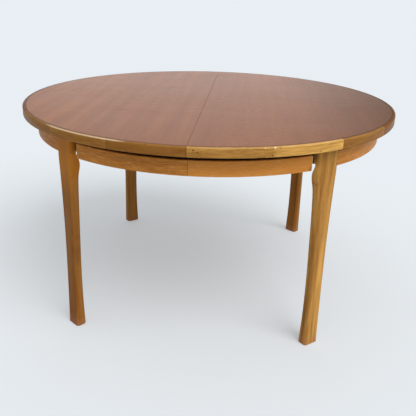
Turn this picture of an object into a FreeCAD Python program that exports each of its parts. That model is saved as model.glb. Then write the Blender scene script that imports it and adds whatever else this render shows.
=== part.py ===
import FreeCAD, Part
import math
import os
import re
import Sketcher

# Round extending dining table: a top and apron split across the middle, each
# half on two sculpted legs, wooden three-member slides between the halves and
# a folded leaf stored on the sliding carriage.
# Millimetres. Origin on the floor at the centre, +Z up, +X is the way the
# right half slides, the seam runs along Y and the front is -Y.

os.makedirs("parts", exist_ok=True)
doc = FreeCAD.newDocument("round_extending_table")
V = FreeCAD.Vector
AXIS_X, AXIS_Y, AXIS_Z = V(1, 0, 0), V(0, 1, 0), V(0, 0, 1)
QUARTER = math.pi / 2
ANY_TURN = 10

SIZES = [
    # whole table
    ("table_height", "715", "floor to the top face"),
    ("top_radius", "665", "outer radius of the top"),
    ("seam_clear", "1", "gap between the closed halves"),
    ("glue_clear", "0.3", "gap between curved faces of one half"),
    ("slide_clear", "0.5", "gap between sliding faces"),
    ("bore_clear", "0.1", "radial gap round bolts, pegs and screws"),
    ("cut_past", "100", "trimming shapes past the pieces they cut"),
    ("cut_slack", "1", "cutting shapes past the faces they cut"),
    # top
    ("veneer_thick", "1", "face veneer"),
    ("core_thick", "18", "core board"),
    ("core_top", "=table_height - veneer_thick", "upper face of the core"),
    ("under_top", "=core_top - core_thick", "underside of the top"),
    ("lipping_width", "10", "edge lipping seen from above"),
    ("lipping_height", "30", "edge lipping seen from the side"),
    ("lipping_round", "5", "upper arris of the lipping"),
    ("lipping_ease", "2", "lower arris of the lipping"),
    ("lipping_angle", "20", "angle of one lipping segment"),
    ("lipping_low", "=table_height - lipping_height", "lower edge of the lipping"),
    ("lipping_inner", "=top_radius - lipping_width", "inner radius of the lipping"),
    ("panel_radius", "=lipping_inner - glue_clear", "radius of core and veneer"),
    # apron
    ("apron_inset", "48", "top overhang past the apron"),
    ("apron_radius", "=top_radius - apron_inset", "outer radius of the apron"),
    ("apron_thick", "18", "apron thickness"),
    ("apron_inner", "=apron_radius - apron_thick", "inner radius of the apron"),
    ("apron_drop", "33", "gap between the top's underside and the apron"),
    ("apron_width", "47", "height of the apron"),
    ("apron_high", "=under_top - apron_drop", "upper edge of the apron"),
    ("apron_low", "=apron_high - apron_width", "lower edge of the apron"),
    ("apron_ease", "2", "arris of the apron"),
    ("spacer_inset", "8", "dark spacer over the apron, behind the apron's face"),
    ("spacer_radius", "=apron_radius - spacer_inset", "outer radius of the spacer"),
    ("slot_angle", "5.5", "leg axis to the end strip of the front apron"),
    ("apron_end_angle", "=leg_azimuth - slot_angle", "front apron, seam to its end strip"),
    ("end_strip_angle", "0.2", "end strip on the front apron"),
    # legs
    ("leg_azimuth", "39.5", "leg axis from the front, round the centre"),
    ("leg_away", "45", "leg edge away from the seam"),
    ("blade_away", "41", "blade edge away from the seam"),
    ("blade_long", "71", "straight blade under the top"),
    ("leg_round", "11", "arris of the leg"),
    ("blade_round", "9", "arris of the blade"),
    ("foot_ease", "2", "chamfer round the foot"),
    # leg block and its bolts
    ("block_width", "60", "leg block along the leg's width"),
    ("block_depth", "42", "leg block inward"),
    ("block_high", "68", "leg block height"),
    ("block_low", "=under_top - block_high", "lower face of the leg block"),
    ("block_room", "4", "leg block to the slides"),
    ("block_limit", "=(outer_out + block_room + block_width / 2 * sin(leg_azimuth)) / cos(leg_azimuth)", ""),
    ("block_in", "=max(blade_in - block_depth; block_limit)", "inner face of the leg block"),
    ("block_thick", "=blade_in - block_in", "leg block as fitted beside the slides"),
    ("bolt_size", "8", "bolt thread"),
    ("bolt_head", "13", "bolt head across flats"),
    ("bolt_head_high", "5.3", "bolt head height"),
    ("bolt_margin", "18", "bolts from the ends of the leg block"),
    ("bolt_low", "=block_low + bolt_margin", "lower bolt level"),
    ("bolt_high", "=under_top - bolt_margin", "upper bolt level"),
    ("washer_size", "20", "washer diameter"),
    ("washer_thick", "1.6", "washer"),
    ("insert_size", "12", "threaded insert diameter"),
    ("insert_long", "15", "threaded insert length"),
    ("insert_spare", "2", "insert past the tip of the bolt"),
    # glue blocks of the apron
    ("hanger_width", "40", "glue block along the apron"),
    ("hanger_depth", "24", "glue block inward"),
    ("hanger_high", "66", "glue block height"),
    ("hanger_low", "=under_top - hanger_high", "lower face of the glue blocks"),
    ("hanger_seam", "7", "glue block beside the seam, angle from it"),
    ("hanger_side", "28", "outer glue blocks of the side apron, angle from its middle"),
    ("hanger_slot", "5.2", "glue block behind the slot, angle from the leg axis"),
    ("hanger_gap", "0.7", "glue block to the apron at its middle"),
    # slides
    ("runner_width", "22", "each slide member"),
    ("runner_high", "40", "height of the fixed members"),
    ("runner_low", "=under_top - runner_high", "lower face of the fixed members"),
    ("runner_spare", "5", "bearer to the apron, and the members' end play"),
    ("runner_reach", "=sqrt(apron_inner ^ 2 - outer_out ^ 2) - bearer_width - runner_spare",
     "fixed member outward"),
    ("runner_cross", "=runner_reach - 2 * runner_spare", "fixed member past the seam"),
    ("mid_reach", "=runner_reach - runner_spare", "half of the middle member"),
    ("tongue_deep", "6", "tongue of the middle member"),
    ("tongue_high", "10", "tongue height"),
    ("leaf_room", "8", "folded leaf to the slides"),
    ("inner_in", "=leaf_half + leaf_room", "inner face of the right half's member"),
    ("inner_out", "=inner_in + runner_width", ""),
    ("mid_in", "=inner_out + slide_clear", ""),
    ("mid_out", "=mid_in + runner_width", ""),
    ("outer_in", "=mid_out + slide_clear", ""),
    ("outer_out", "=outer_in + runner_width", ""),
    ("inner_groove", "=inner_out - tongue_deep", "bottom of the groove"),
    ("outer_groove", "=outer_in + tongue_deep", "bottom of the groove"),
    ("mid_tip_in", "=mid_in - tongue_deep", "tip of the tongue"),
    ("mid_tip_out", "=mid_out + tongue_deep", "tip of the tongue"),
    ("mid_low", "=runner_low - slide_clear", "lower face of the middle member"),
    ("mid_top", "=under_top - slide_clear", "upper face of the middle member"),
    ("slide_level", "=(runner_low + under_top) / 2", "middle of the tongue"),
    ("tongue_low", "=slide_level - tongue_high / 2", ""),
    ("tongue_top", "=slide_level + tongue_high / 2", ""),
    ("groove_low", "=tongue_low - slide_clear", ""),
    ("groove_top", "=tongue_top + slide_clear", ""),
    ("bearer_width", "26", "bearer behind the slide members"),
    # screws up into the top
    ("screw_size", "4.5", "screw shank"),
    ("screw_head", "8.5", "screw head"),
    ("screw_long", "34", "screw length"),
    ("screw_bite", "12", "screw length in the core"),
    ("screw_head_high", "3.5", "countersunk head"),
    ("screw_near", "60", "first screw of a slide member from the centre"),
    ("screw_next", "220", "second screw of a slide member"),
    ("screw_far", "370", "last screw of a slide member"),
    ("bearer_screw", "140", "bearer screws from the middle"),
    ("screw_foot", "=under_top + screw_bite - screw_long", "level of the screw heads"),
    ("outer_screw", "=(outer_groove + outer_out) / 2", "screw line, outer member"),
    ("inner_screw", "=(inner_in + inner_groove) / 2", "screw line, inner member"),
    # pegs across the seam
    ("peg_size", "10", "alignment peg"),
    ("peg_long", "30", "alignment peg length"),
    ("peg_fixed", "18", "peg length held in the left half"),
    ("peg_clear", "0.3", "radial gap of the peg in the right half"),
    ("peg_room", "2", "hole past the peg's end in the right half"),
    ("peg_spread", "400", "outer pegs from the middle one"),
    ("peg_level", "=under_top + core_thick / 2", ""),
    # carriage and stored leaf
    ("batten_width", "45", "batten under the middle members"),
    ("batten_thick", "14", "batten"),
    ("batten_place", "180", "battens from the centre"),
    ("leaf_wide", "499", "leaf across the seam"),
    ("leaf_half", "=top_radius / 2", "half of the folded leaf's length"),
    ("leaf_thick", "19", "each leaf panel"),
    ("leaf_gap", "0.3", "between the folded panels"),
    ("leaf_low", "=mid_low", "lower face of the folded leaf"),
    ("leaf_upper", "=leaf_low + leaf_thick + leaf_gap", "lower face of the upper panel"),
    ("barrel_size", "12", "hinge barrel"),
    ("barrel_long", "14", "hinge barrel depth"),
    ("hinge_spread", "190", "outer hinges from the middle one"),
    ("link_width", "7", "hinge link"),
    ("link_thick", "2", "hinge link"),
    ("link_past", "5", "hinge link past the axis of its barrels"),
]

# Leg stations from foot to blade: share of the sculpted length, outer face
# beyond the apron, edge towards the seam from the leg's axis, depth inward.
LEG_STATIONS = [
    ("foot", "0", "0.5", "12", "37"),
    ("heel", "0.08", "-0.6", "9.8", "35.2"),
    ("shin", "0.168", "-1.5", "8", "33.6"),
    ("ankle", "0.264", "-2.3", "7.1", "32.5"),
    ("shank", "0.36", "-2.8", "7", "32"),
    ("calf", "0.456", "-3", "7.8", "32"),
    ("garter", "0.552", "-2.8", "9.4", "32.2"),
    ("knee", "0.648", "-2", "11.7", "32.5"),
    ("lap", "0.736", "-0.8", "14.5", "32.8"),
    ("thigh", "0.816", "0.6", "18", "33.4"),
    ("haunch", "0.88", "2", "22", "35.4"),
    ("hip", "0.933", "3.4", "26.8", "39.2"),
    ("scoop", "0.97", "4.2", "30.4", "32.5"),
    ("blade", "1", "4.7", "33", "24"),
]
SIZES.append(("sculpted", "=under_top - blade_long", "floor to the foot of the blade"))
for station, share, proud, seam, depth in LEG_STATIONS:
    SIZES.append((station + "_share", share, station + ", share of the sculpted length"))
    SIZES.append((station + "_proud", proud, station + ", beyond the apron"))
    SIZES.append((station + "_seam", seam, station + ", edge towards the seam"))
    SIZES.append((station + "_depth", depth, station + ", depth inward"))
    SIZES.append((station + "_high", f"=sculpted * {station}_share", station + ", above the floor"))
    SIZES.append((station + "_face", f"=apron_radius + {station}_proud", station + ", outer face"))
    SIZES.append((station + "_in", f"={station}_face - {station}_depth", station + ", inner face"))

sheet = doc.addObject("Spreadsheet::Sheet", "Sizes")
for row, (alias, value, note) in enumerate(SIZES, start=1):
    sheet.set(f"A{row}", note or alias)
    sheet.set(f"B{row}", value)
    sheet.setAlias(f"B{row}", alias)
doc.recompute()
ALIASES = {alias for alias, _, _ in SIZES}


def size(name):
    """Number behind an alias, which may carry a minus sign."""
    sign = -1.0 if name.startswith("-") else 1.0
    return sign * float(sheet.get(name.lstrip("-")))


def bind(thing, prop, text):
    """Bind a property to an expression in the sheet's aliases."""
    linked = re.sub(r"[a-z_]+", lambda m: "Sizes." + m.group() if m.group() in ALIASES else m.group(), text)
    thing.setExpression(prop, linked)


def new(kind, name):
    made = doc.addObject(kind, name)
    made.Label = name
    return made


def place(thing, x="0", y="0", z="0", turn=None, axis=AXIS_Z):
    """Bind an object's placement: position, and a turn about one axis.

    Any turn but zero sets the axis; the expression then sets the angle.
    """
    if turn is not None:
        thing.Placement = FreeCAD.Placement(V(0, 0, 0), FreeCAD.Rotation(axis, ANY_TURN))
        bind(thing, "Placement.Rotation.Angle", turn)
    for prop, text in (("x", x), ("y", y), ("z", z)):
        if text != "0":
            bind(thing, "Placement.Base." + prop, text)
    return thing


def box(name, x, y, z, length, width, height):
    made = new("Part::Box", name)
    bind(made, "Length", length)
    bind(made, "Width", width)
    bind(made, "Height", height)
    return place(made, x, y, z)


def rod(name, radius, height, x="0", y="0", z="0", axis=None, turn="90"):
    made = new("Part::Cylinder", name)
    bind(made, "Radius", radius)
    bind(made, "Height", height)
    if axis is None:
        return place(made, x, y, z)
    return place(made, x, y, z, turn, axis)


def cut(name, base, tools):
    made = new("Part::Cut", name)
    made.Base = base
    made.Tool = tools[0] if len(tools) == 1 else group(name + "_tools", tools)
    return made


def fuse(name, things):
    made = new("Part::MultiFuse", name)
    made.Shapes = things
    return made


def group(name, things):
    made = new("Part::Compound", name)
    made.Links = things
    return made


def mirror(name, source, normal):
    made = new("Part::Mirroring", name)
    made.Source = source
    made.Normal = normal
    return made


def plane_of(body, role):
    return [f for f in body.Origin.OriginFeatures if f.Role == role][0]


def sketch_on(body, name, role, offset=None):
    """Sketch attached to one of the body's own origin planes."""
    made = body.newObject("Sketcher::SketchObject", name)
    made.AttachmentSupport = [(plane_of(body, role), "")]
    made.MapMode = "FlatFace"
    if offset:
        bind(made, "AttachmentOffset.Base.z", offset)
    return made


def set_value(sketch, kind, items, name, alias):
    """Dimension a sketch and bind it to an alias."""
    number = sketch.addConstraint(Sketcher.Constraint(kind, *items, size(alias)))
    sketch.renameConstraint(number, name)
    bind(sketch, "Constraints." + name, alias)


def outline(sketch, points):
    """Closed polygon whose corners are pairs of aliases."""
    spots = [V(size(a), size(b), 0) for a, b in points]
    count = len(spots)
    for i in range(count):
        sketch.addGeometry(Part.LineSegment(spots[i], spots[(i + 1) % count]), False)
    for i in range(count):
        sketch.addConstraint(Sketcher.Constraint("Coincident", i, 2, (i + 1) % count, 1))
    for i, (across, up) in enumerate(points):
        set_value(sketch, "DistanceX", (i, 1), f"across{i}", across)
        set_value(sketch, "DistanceY", (i, 1), f"up{i}", up)


def arc_between(centre, radius, start):
    circle = Part.Circle(centre, AXIS_Z, radius)
    return Part.ArcOfCircle(circle, start, start + QUARTER)


def rounded(sketch, left, right, low, high, corners):
    """Upright rectangle; corners go round from lower left, None is sharp."""
    x0, x1, y0, y1 = size(left), size(right), size(low), size(high)
    radii = [size(c) if c else 0.0 for c in corners]
    turns = [V(1, 0, 0), V(0, 1, 0), V(-1, 0, 0), V(0, -1, 0)]
    spots = [V(x0, y0, 0), V(x1, y0, 0), V(x1, y1, 0), V(x0, y1, 0)]
    for i in range(4):
        after = (i + 1) % 4
        start = spots[i] + turns[i] * radii[i]
        end = spots[after] - turns[i] * radii[after]
        sketch.addGeometry(Part.LineSegment(start, end), False)
        way = "Horizontal" if i % 2 == 0 else "Vertical"
        sketch.addConstraint(Sketcher.Constraint(way, i))
    arcs = 4
    for i, corner in enumerate(corners):
        before = (i - 1) % 4
        if corner is None:
            sketch.addConstraint(Sketcher.Constraint("Coincident", before, 2, i, 1))
            continue
        centre = spots[i] + turns[i] * radii[i] - turns[before] * radii[i]
        sketch.addGeometry(arc_between(centre, radii[i], math.pi + i * QUARTER), False)
        sketch.addConstraint(Sketcher.Constraint("Tangent", before, 2, arcs, 1))
        sketch.addConstraint(Sketcher.Constraint("Tangent", arcs, 2, i, 1))
        set_value(sketch, "Radius", (arcs,), f"corner{i}", corner)
        arcs += 1
    set_value(sketch, "DistanceY", (0, 1), "low", low)
    set_value(sketch, "DistanceX", (1, 1), "right", right)
    set_value(sketch, "DistanceY", (2, 1), "high", high)
    set_value(sketch, "DistanceX", (3, 1), "left", left)


def ring_part(name, profile, angle, middle, x="-seam_clear / 2"):
    """Part of a ring: an upright profile turned about the table's axis."""
    body = new("PartDesign::Body", name)
    sketch = sketch_on(body, name + "_profile", "XZ_Plane")
    rounded(sketch, *profile)
    turned = body.newObject("PartDesign::Revolution", name + "_turn")
    turned.Profile = sketch
    turned.ReferenceAxis = (sketch, ["V_Axis"])
    turned.Midplane = True
    bind(turned, "Angle", angle)
    return place(body, x, turn=middle)


def profile_along(name, role, points, start, length):
    """Straight member: a section extruded from start."""
    body = new("PartDesign::Body", name)
    sketch = sketch_on(body, name + "_section", role, start)
    outline(sketch, points)
    pad = body.newObject("PartDesign::Pad", name + "_pad")
    pad.Profile = sketch
    bind(pad, "Length", length)
    return body


def copy_at(name, source, x="0", y="0", z="0", turn=None, axis=AXIS_Z):
    return place(group(name, [source]), x, y, z, turn, axis)


LEG_TURN = "180 - leg_azimuth"
HALF_SEAM = "-seam_clear / 2"


def half_round(name, low, thick):
    """Half disc of the left half, straight edge on the seam."""
    body = new("PartDesign::Body", name)
    sketch = sketch_on(body, name + "_outline", "XY_Plane", low)
    radius = size("panel_radius")
    circle = Part.Circle(V(0, 0, 0), AXIS_Z, radius)
    sketch.addGeometry(Part.ArcOfCircle(circle, QUARTER, 3 * QUARTER), False)
    sketch.addGeometry(Part.LineSegment(V(0, -radius, 0), V(0, radius, 0)), False)
    sketch.addConstraint(Sketcher.Constraint("Coincident", 0, 3, -1, 1))
    sketch.addConstraint(Sketcher.Constraint("Coincident", 0, 2, 1, 1))
    sketch.addConstraint(Sketcher.Constraint("Coincident", 1, 2, 0, 1))
    sketch.addConstraint(Sketcher.Constraint("PointOnObject", 0, 1, -2))
    sketch.addConstraint(Sketcher.Constraint("PointOnObject", 0, 2, -2))
    set_value(sketch, "Radius", (0,), "edge", "panel_radius")
    pad = body.newObject("PartDesign::Pad", name + "_pad")
    pad.Profile = sketch
    bind(pad, "Length", thick)
    return place(body, HALF_SEAM)


def screw_blanks():
    """One wood screw and the bore it needs, standing on the table's axis."""
    head = new("Part::Cone", "screw_head_blank")
    bind(head, "Radius1", "screw_head / 2")
    bind(head, "Radius2", "screw_size / 2")
    bind(head, "Height", "screw_head_high")
    place(head, z="screw_foot")
    shank = rod("screw_shank_blank", "screw_size / 2", "screw_long - screw_head_high",
                z="screw_foot + screw_head_high")
    drill = rod("screw_drill_blank", "screw_size / 2 + bore_clear", "screw_long + bore_clear", z="screw_foot")
    sink = rod("screw_sink_blank", "screw_head / 2 + bore_clear", "screw_head_high + cut_past",
               z="screw_foot - cut_past")
    return fuse("screw_blank", [head, shank]), fuse("screw_bore_blank", [drill, sink])


def spread(name, source, spots):
    """Copies of one piece at several spots."""
    return [copy_at(f"{name}_{i}", source, x, y) for i, (x, y) in enumerate(spots)]


def make_screws(side, line, sign):
    """Screws up through slide members and bearer of one half, with bores."""
    spots = [(sign + x, way + line) for x in ("screw_near", "screw_next", "screw_far") for way in ("-", "")]
    middle = f"{sign}(runner_reach + bearer_width / 2)"
    spots += [(middle, "-bearer_screw"), (middle, "bearer_screw")]
    screws = group("top_screws_" + side, spread("screw_" + side, SCREW, spots))
    bores = group("screw_bores_" + side, spread("bore_" + side, BORE, spots))
    return screws, bores


def make_leg_blank():
    """Sculpted leg in its own frame: X away from the seam, Y outward."""
    body = new("PartDesign::Body", "leg_blank")
    sections = []
    for name, *_ in LEG_STATIONS:
        height = None if name == "foot" else name + "_high"
        sketch = sketch_on(body, name + "_section", "XY_Plane", height)
        section(sketch, name)
        sections.append(sketch)
    loft = body.newObject("PartDesign::AdditiveLoft", "leg_loft")
    loft.Profile = sections[0]
    loft.Sections = sections[1:]
    loft.Ruled = False
    top = sketch_on(body, "blade_top_section", "XY_Plane", "blade_high")
    section(top, "blade")
    pad = body.newObject("PartDesign::Pad", "blade_pad")
    pad.Profile = top
    bind(pad, "Length", "under_top - blade_high")
    doc.recompute()
    low = [f"Edge{i}" for i, edge in enumerate(pad.Shape.Edges, start=1) if edge.BoundBox.ZMax < 0.01]
    ease = body.newObject("PartDesign::Chamfer", "foot_chamfer")
    ease.Base = (pad, low)
    bind(ease, "Size", "foot_ease")
    return body


def section(sketch, name):
    """Rounded section of the leg at one station."""
    corner = "blade_round" if name == "blade" else "leg_round"
    away = "blade_away" if name == "blade" else "leg_away"
    rounded(sketch, f"-{name}_seam", away, name + "_in", name + "_face", [corner] * 4)


def leg_drill(name, radius, length, start):
    """Two bores or shanks across the leg, one above the other."""
    return [rod(f"{name}_{level}", radius, length, y=start + " + " + length, z=level, axis=AXIS_X)
            for level in ("bolt_low", "bolt_high")]


def make_leg():
    sockets = leg_drill("insert_socket", "insert_size / 2 + bore_clear", "insert_long + bore_clear",
                        "blade_in")
    leg = cut("leg_left_front", make_leg_blank(), sockets)
    return place(leg, HALF_SEAM, turn=LEG_TURN)


def make_leg_block():
    blank = box("leg_block_blank", "-block_width / 2", "block_in", "block_low",
                "block_width", "block_thick", "under_top - block_low")
    bores = leg_drill("block_bore", "bolt_size / 2 + bore_clear", "block_thick", "block_in")
    return place(cut("leg_block_left_front", blank, bores), HALF_SEAM, turn=LEG_TURN)


def make_bolts():
    """Bolt, washer and threaded insert of one leg, in the leg's frame."""
    bolts = []
    shanks = leg_drill("bolt_shank", "bolt_size / 2",
                       "block_thick + washer_thick + insert_long - insert_spare", "block_in - washer_thick")
    for level, shank in zip(("bolt_low", "bolt_high"), shanks):
        head = new("Part::Prism", "bolt_head_" + level)
        head.Polygon = 6
        bind(head, "Circumradius", "bolt_head / 2 / cos(30)")
        bind(head, "Height", "bolt_head_high")
        place(head, y="block_in - washer_thick", z=level, turn="90", axis=AXIS_X)
        bolts.append(fuse("bolt_" + level, [head, shank]))
    rings = leg_drill("washer_disc", "washer_size / 2", "washer_thick", "block_in - washer_thick")
    holes = leg_drill("washer_hole", "bolt_size / 2 + bore_clear", "washer_thick", "block_in - washer_thick")
    sleeves = leg_drill("insert_sleeve", "insert_size / 2", "insert_long", "blade_in")
    threads = leg_drill("insert_thread", "bolt_size / 2 + bore_clear", "insert_long", "blade_in")
    washers = [cut(f"washer_{i}", a, [b]) for i, (a, b) in enumerate(zip(rings, holes))]
    inserts = [cut(f"insert_{i}", a, [b]) for i, (a, b) in enumerate(zip(sleeves, threads))]
    return bolts, washers, inserts


def at_both_legs(name, things):
    front = place(group(name + "_front", things), HALF_SEAM, turn=LEG_TURN)
    back = mirror(name + "_back", front, AXIS_Y)
    return group(name, [front, back])


APRON_PROFILE = ("apron_inner", "apron_radius", "apron_low", "apron_high", ["apron_ease"] * 4)
SPACER_PROFILE = ("apron_inner", "spacer_radius", "apron_high", "under_top", [None] * 4)


def side_trim():
    """Shapes that cut the ends of the side apron to the faces of the two legs."""
    blade = box("side_trim_blade", "-cut_past", "apron_inner - cut_past", "apron_low - cut_past",
                "cut_past + blade_away", "apron_thick + 2 * cut_past",
                "under_top - apron_low + 2 * cut_past")
    below = box("side_trim_below", "-cut_past", "apron_inner - cut_past", "apron_low - cut_past",
                "cut_past + leg_away", "apron_thick + 2 * cut_past", "sculpted - apron_low + cut_past")
    tool = fuse("side_trim", [blade, below])
    front = copy_at("side_trim_front", tool, HALF_SEAM, turn=LEG_TURN)
    return [front, mirror("side_trim_back", front, AXIS_Y)]


def make_ring(name, profile, trim):
    """Front, back and side pieces of one ring between the legs."""
    front = ring_part(name + "_front", profile, "apron_end_angle", "270 - apron_end_angle / 2")
    side = ring_part(name + "_side_blank", profile, "180 - 2 * leg_azimuth", "180")
    return [front, mirror(name + "_back", front, AXIS_Y), cut(name + "_side", side, trim)]


def make_hangers():
    """Glue blocks that hang the aprons from the top."""
    blank = box("hanger_blank", "-hanger_width / 2", "apron_inner - hanger_gap - hanger_depth", "hanger_low",
                "hanger_width", "hanger_depth", "under_top - hanger_low")
    angles = ("hanger_seam", "leg_azimuth - hanger_slot", "90 - hanger_side")
    turns = ["90"] + [f"180 - ({a})" for a in angles] + list(angles)
    made = [copy_at(f"hanger_{i}", blank, HALF_SEAM, turn=turn) for i, turn in enumerate(turns)]
    return group("apron_blocks_left", made)


def make_lipping():
    profile = ("lipping_inner", "top_radius", "lipping_low", "table_height",
               [None, "lipping_ease", "lipping_round", None])
    blank = ring_part("lipping_blank", profile, "lipping_angle", "0", "0")
    made = [copy_at(f"lipping_{i}", blank, HALF_SEAM, turn=f"90 + {i} * lipping_angle + lipping_angle / 2")
            for i in range(9)]
    return group("edge_lipping_left", made)


def grooved_runner(name, inner, outer, bottom, open_face, start, length):
    """Fixed slide member with a groove in the face towards the middle member."""
    solid = inner if open_face == outer else outer
    points = [("-" + solid, "runner_low"), ("-" + open_face, "runner_low"),
              ("-" + open_face, "groove_low"), ("-" + bottom, "groove_low"),
              ("-" + bottom, "groove_top"), ("-" + open_face, "groove_top"),
              ("-" + open_face, "under_top"), ("-" + solid, "under_top")]
    return profile_along(name, "YZ_Plane", points, start, length)


def make_runner(side, bores):
    """Fixed member of one half, eased where it passes under the other half."""
    if side == "left":
        blank = grooved_runner("left_member", "outer_in", "outer_out", "outer_groove", "outer_in",
                               "-runner_reach", "runner_reach + runner_cross")
        start, back_face = "-seam_clear - cut_slack", "outer_out"
    else:
        blank = grooved_runner("right_member", "inner_in", "inner_out", "inner_groove", "inner_out",
                               "-runner_cross", "runner_reach + runner_cross")
        start, back_face = "-runner_cross - cut_slack", "inner_out"
    relief = box(side + "_relief", start, f"-{back_face} - cut_slack", "under_top - slide_clear",
                 "runner_cross + seam_clear + 2 * cut_slack", "runner_width + 2 * cut_slack",
                 "slide_clear + cut_slack")
    return cut(f"runner_{side}_front", blank, [relief, bores])


def make_middle_runner():
    points = [("-mid_out", "mid_low"), ("-mid_in", "mid_low"), ("-mid_in", "tongue_low"),
              ("-mid_tip_in", "tongue_low"), ("-mid_tip_in", "tongue_top"), ("-mid_in", "tongue_top"),
              ("-mid_in", "mid_top"), ("-mid_out", "mid_top"), ("-mid_out", "tongue_top"),
              ("-mid_tip_out", "tongue_top"), ("-mid_tip_out", "tongue_low"), ("-mid_out", "tongue_low")]
    return profile_along("middle_member", "YZ_Plane", points, "-mid_reach", "2 * mid_reach")


def pegs(name, radius, start, length):
    return [rod(f"{name}_{i}", radius, length, start, spot, "peg_level", axis=AXIS_Y)
            for i, spot in enumerate(("-peg_spread", "0", "peg_spread"))]


def barrels(name, radius, length):
    """Hinge barrels let into the fold edge of both leaf panels."""
    made = []
    for level in ("leaf_low", "leaf_upper"):
        for i, spot in enumerate(("-hinge_spread", "0", "hinge_spread")):
            made.append(rod(f"{name}_{level}_{i}", radius, length, spot, "leaf_half",
                            level + " + leaf_thick / 2", axis=AXIS_X))
    return made


def leaf_panel(name, low, bores):
    blank = box(name + "_blank", "-leaf_wide / 2", "-leaf_half + lipping_width", low,
                "leaf_wide", "2 * leaf_half - lipping_width", "leaf_thick")
    return cut(name, blank, [bores])


def leaf_end(name, low):
    return box(name, "-leaf_wide / 2", "-leaf_half", low, "leaf_wide", "lipping_width", "leaf_thick")


def make_batten(name, sign, bores):
    blank = box(name + "_blank", f"{sign}batten_place - batten_width / 2", "-mid_out",
                "mid_low - batten_thick", "batten_width", "2 * mid_out", "batten_thick")
    return cut(name, blank, [bores])


SCREW, BORE = screw_blanks()
NODES = []


def keep(*things):
    NODES.extend(things)


def make_left_half():
    screws, bores = make_screws("left", "outer_screw", "-")
    sockets = pegs("peg_socket", "peg_size / 2 + bore_clear", "-peg_fixed - seam_clear / 2",
                   "peg_fixed + cut_slack")
    core = cut("top_core_left", half_round("core_blank", "under_top", "core_thick"), sockets + [bores])
    veneer = half_round("top_veneer_left", "core_top", "veneer_thick")
    trim = side_trim()
    strip = ring_part("apron_strip_front", APRON_PROFILE, "end_strip_angle",
                      "270 - apron_end_angle - end_strip_angle / 2")
    strips = group("apron_end_strips_left", [strip, mirror("apron_strip_back", strip, AXIS_Y)])
    leg, block = make_leg(), make_leg_block()
    bolts, washers, inserts = make_bolts()
    runner = make_runner("left", bores)
    bearer_blank = box("bearer_left_blank", "-runner_reach - bearer_width", "-outer_out", "runner_low",
                       "bearer_width", "2 * outer_out", "under_top - runner_low")
    bearer = cut("bearer_left", bearer_blank, [bores])
    pins = group("seam_pegs", pegs("seam_peg", "peg_size / 2", "-peg_fixed - seam_clear / 2", "peg_long"))
    shared = [veneer, make_lipping(), *make_ring("apron_left", APRON_PROFILE, trim),
              *make_ring("apron_spacer_left", SPACER_PROFILE, trim), strips,
              leg, mirror("leg_left_back", leg, AXIS_Y), block, mirror("leg_block_left_back", block, AXIS_Y),
              at_both_legs("leg_bolts_left", bolts), at_both_legs("leg_washers_left", washers),
              at_both_legs("leg_inserts_left", inserts), make_hangers()]
    keep(core, *shared, bearer, runner, mirror("runner_left_back", runner, AXIS_Y), pins, screws)
    return shared


def make_right_half(shared):
    screws, bores = make_screws("right", "inner_screw", "")
    sockets = pegs("peg_hole", "peg_size / 2 + peg_clear", "-cut_slack",
                   "peg_long - peg_fixed + peg_room + cut_slack")
    blank = mirror("core_blank_right", doc.getObject("core_blank"), AXIS_X)
    keep(cut("top_core_right", blank, sockets + [bores]))
    for left in shared:
        keep(mirror(left.Label.replace("_left", "_right"), left, AXIS_X))
    runner = make_runner("right", bores)
    bearer_blank = box("bearer_right_blank", "runner_reach", "-outer_out", "runner_low",
                       "bearer_width", "2 * outer_out", "under_top - runner_low")
    keep(cut("bearer_right", bearer_blank, [bores]), runner, mirror("runner_right_back", runner, AXIS_Y),
         screws)


def make_carriage():
    drop = "mid_low - batten_thick - screw_foot"
    middle = "(mid_in + mid_out) / 2"
    spots = [(f"{a}batten_place", f"{b}{middle}") for a in ("-", "") for b in ("-", "")]
    screws = [copy_at(f"batten_screw_{i}", SCREW, x, y, drop) for i, (x, y) in enumerate(spots)]
    bores = group("batten_bores", [copy_at(f"batten_bore_{i}", BORE, x, y, drop)
                                   for i, (x, y) in enumerate(spots)])
    runner = cut("runner_middle_front", make_middle_runner(), [bores])
    holes = group("barrel_holes", barrels("barrel_hole", "barrel_size / 2 + bore_clear",
                                          "barrel_long + bore_clear"))
    links = [box(f"hinge_link_{i}", f"{spot} - link_width / 2", "leaf_half",
                 "leaf_low + leaf_thick / 2 - link_past",
                 "link_width", "link_thick", "leaf_thick + leaf_gap + 2 * link_past")
             for i, spot in enumerate(("-hinge_spread", "0", "hinge_spread"))]
    keep(runner, mirror("runner_middle_back", runner, AXIS_Y),
         make_batten("batten_left", "-", bores), make_batten("batten_right", "", bores),
         group("batten_screws", screws),
         leaf_panel("leaf_panel_lower", "leaf_low", holes),
         leaf_panel("leaf_panel_upper", "leaf_upper", holes),
         leaf_end("leaf_end_lower", "leaf_low"), leaf_end("leaf_end_upper", "leaf_upper"),
         group("leaf_hinge_barrels", barrels("leaf_barrel", "barrel_size / 2", "barrel_long")),
         group("leaf_hinge_links", links))


def export_all():
    doc.recompute()
    broken = [o.Label for o in doc.Objects if {"Invalid", "Error"} & set(o.State)]
    for node in NODES:
        if node.Shape.isNull() or not node.Shape.isValid():
            broken.append(node.Label)
    if broken:
        raise RuntimeError("not valid: " + ", ".join(broken))
    for node in NODES:
        node.Shape.exportStep(f"parts/{node.Label}.step")
    print(len(NODES), "nodes written")


make_right_half(make_left_half())
make_carriage()
export_all()
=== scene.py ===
import math

import bmesh
import bpy
from bpy.props import FloatProperty, FloatVectorProperty, IntProperty, PointerProperty
from mathutils import Matrix, Vector


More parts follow.
